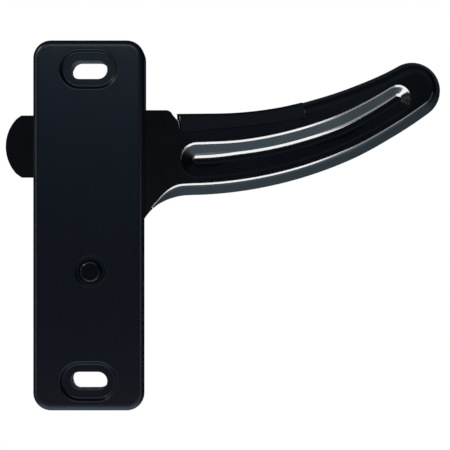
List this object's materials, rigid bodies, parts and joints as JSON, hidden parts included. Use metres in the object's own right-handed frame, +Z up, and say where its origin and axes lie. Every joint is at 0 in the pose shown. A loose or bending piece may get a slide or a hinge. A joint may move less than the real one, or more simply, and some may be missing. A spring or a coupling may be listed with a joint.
{
  "type": "lever latch",
  "caption": "Surface-mounted sprung lever latch for a light door: black pressed-steel cover, curved press-down handle with a finger groove, and a flat round-ended nose.",
  "frame": {"origin": "middle of the mounting face, midway between the two screw slots", "axes": "+Y out of the back, into the door; +X along the handle, away from the nose; +Z up as fitted"},
  "size_m": [0.1431, 0.0124, 0.1208],
  "materials": {
    "cover_paint": "satin black powder coat on pressed steel",
    "lever_paint": "gloss black paint on pressed steel",
    "rivet_paint": "satin black paint on turned steel",
    "zinc_plate": "bright zinc plate on sheet steel",
    "spring_steel": "drawn spring wire",
    "bushing_brass": "turned brass",
    "washer_nylon": "natural nylon"
  },
  "bodies": {
    "housing": {"cover_plate": "cover_paint", "back_plate": "zinc_plate", "screw_spacers": "zinc_plate", "pivot_rivet": "rivet_paint", "pivot_bushing": "bushing_brass", "front_washer": "washer_nylon", "rear_washer": "zinc_plate", "return_spring": "spring_steel"},
    "lever": {"latch_lever": "lever_paint"}
  },
  "joints": [
    {"name": "lever_pivot", "type": "hinge", "parent": "housing", "child": "lever", "pos_m": [0.0005, -0.0082, -0.015], "axis": [0, 1, 0], "range_deg": [0, 15], "stiffness_Nm_per_rad": 0.5, "springref_deg": -28.65, "deforming": ["return_spring"]}
  ]
}
